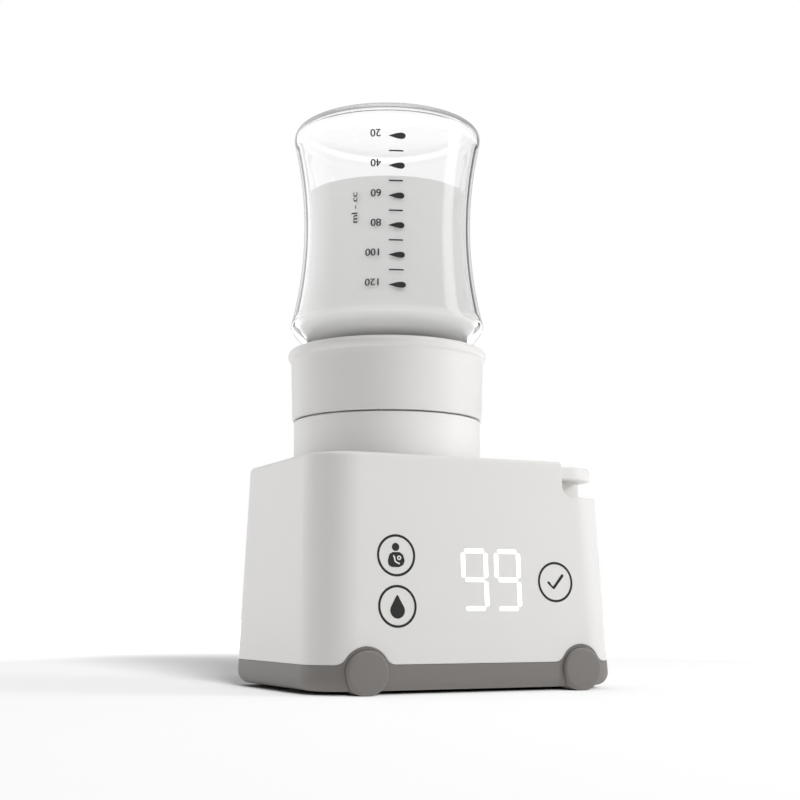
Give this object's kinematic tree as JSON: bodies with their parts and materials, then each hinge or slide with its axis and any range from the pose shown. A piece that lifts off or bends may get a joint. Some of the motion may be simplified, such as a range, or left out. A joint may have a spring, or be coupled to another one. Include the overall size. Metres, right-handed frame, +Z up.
{
  "type": "bottle warmer",
  "caption": "Portable bottle warmer: drafted base with lit display and touch keys, wheel-shaped feet, corner strap eye, and an upturned glass bottle in a push-fit collar.",
  "frame": {"origin": "on the floor under the middle of the base", "axes": "+Z up, front with the display towards -Y, +X to the right seen from the front"},
  "size_m": [0.1078, 0.085, 0.1914],
  "materials": {
    "white_housing": "satin moulded white",
    "white_collar": "satin moulded white",
    "grey_tub": "warm grey moulded plastic, fine grain",
    "grey_feet": "warm grey soft-touch elastomer",
    "glass": "clear borosilicate",
    "silicone": "translucent food-grade silicone",
    "stainless": "deep drawn, fine brushed",
    "steel": "zinc plated",
    "nickel": "nickel strip",
    "foam": "heat insulation felt",
    "heater": "machined",
    "sensor": "epoxy bead",
    "fuse": "cap",
    "red_wire": "silicone sleeved",
    "lead_wire": "pvc sleeved",
    "cell": "shrink sleeve",
    "frame_plastic": "glass filled",
    "board": "solder mask",
    "chip": "moulded",
    "capacitor": "sleeved can",
    "ferrite": "ferrite",
    "led": "clear resin",
    "pad": "conductive cloth over foam",
    "link_wire": "ribbon"
  },
  "bodies": {
    "base": {"upper_housing": "white_housing", "bottom_tub": "grey_tub", "wheel_feet": "grey_feet", "case_screws": "steel", "strap_bar": "white_housing", "neck_tube": "white_housing", "heating_cup": "stainless", "cup_gasket": "silicone", "insulation_sleeve": "foam", "heater_disc": "heater", "base_insulation": "foam", "ntc_sensor": "sensor", "thermal_fuse": "fuse", "heater_leads": "red_wire", "battery_cells": "cell", "battery_cradle": "frame_plastic", "cell_links": "nickel", "battery_leads": "lead_wire", "main_board": "board", "main_board_screws": "steel", "usb_c_socket": "stainless", "power_inductor": "ferrite", "capacitors": "capacitor", "control_chips": "chip", "buzzer": "chip", "display_board": "board", "display_screws": "steel", "light_guide": "frame_plastic", "segment_leds": "led", "touch_pads": "pad", "board_link": "link_wire"},
    "collar": {"collar": "white_collar", "collar_o_ring": "silicone"},
    "gasket": {"bottle_gasket": "silicone"},
    "bottle": {"bottle": "glass"}
  },
  "joints": [
    {"name": "collar_lift", "type": "slide", "parent": "base", "child": "collar", "axis": [0, 0, 1], "range_m": [0, 0.04]},
    {"name": "bottle_rise", "type": "slide", "parent": "collar", "child": "gasket", "axis": [0, 0, 1], "range_m": [0, 0.0061]},
    {"name": "bottle_turn", "type": "hinge", "parent": "gasket", "child": "bottle", "pos_m": [-0.0122, 0, 0.1], "axis": [0, 0, 1], "range_deg": [0, 540]}
  ],
  "couplings": [
    {"joint": "bottle_rise", "follows": "bottle_turn", "m_per_rad": 0.00063662}
  ]
}
